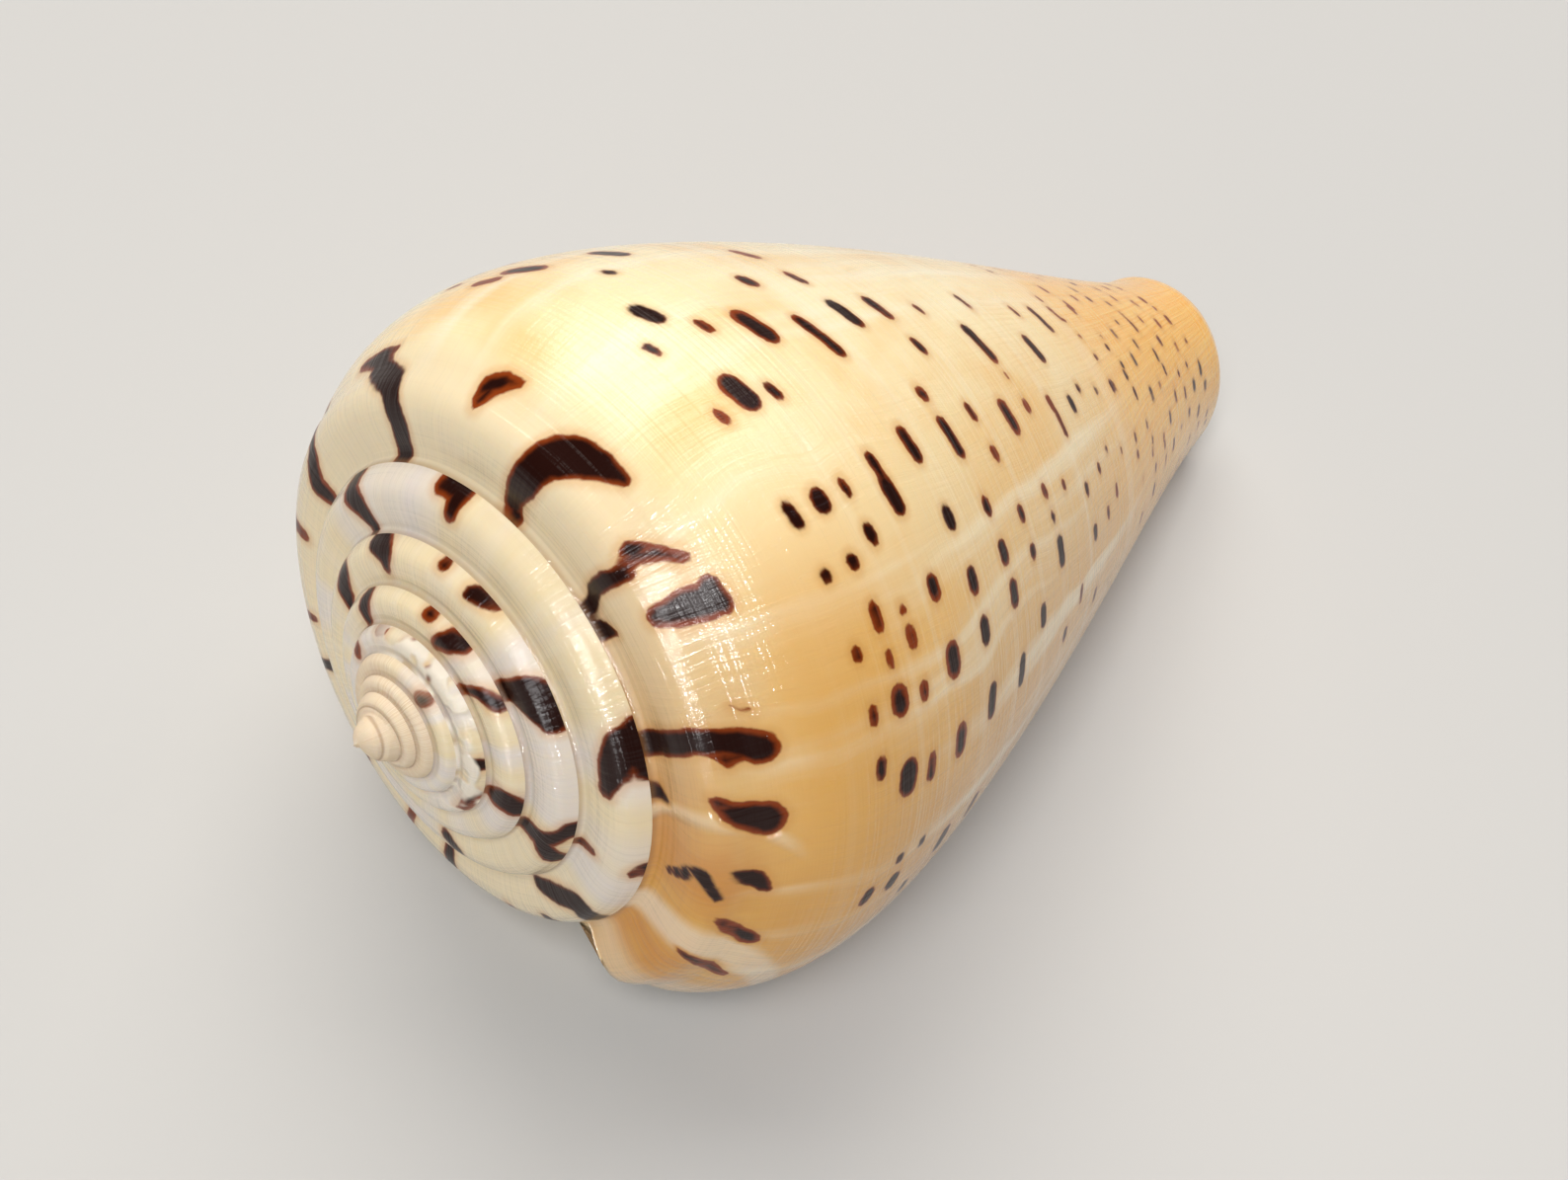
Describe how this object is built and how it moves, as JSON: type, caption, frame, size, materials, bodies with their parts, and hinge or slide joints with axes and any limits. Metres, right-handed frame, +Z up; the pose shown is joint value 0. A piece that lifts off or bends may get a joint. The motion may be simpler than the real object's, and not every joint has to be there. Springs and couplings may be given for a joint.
{
  "type": "beech cone shell",
  "caption": "Glossy cone-shaped sea snail shell with a low pointed spire, a rounded shoulder, dark dashes on cream and a long narrow aperture; it lies on its aperture side.",
  "frame": {"origin": "on the ground under the middle of the lying shell's box", "axes": "+Z up; the coiling axis lies above X, the anterior end towards +X and the spire towards -X, the spire end 12.6 degrees higher"},
  "size_m": [0.0978, 0.0584, 0.0531],
  "materials": {
    "shell": "glossy cream to orange-yellow aragonite with near-black brown dashes and wedges"
  },
  "bodies": {
    "root": {"shell": "shell"}
  },
  "joints": []
}
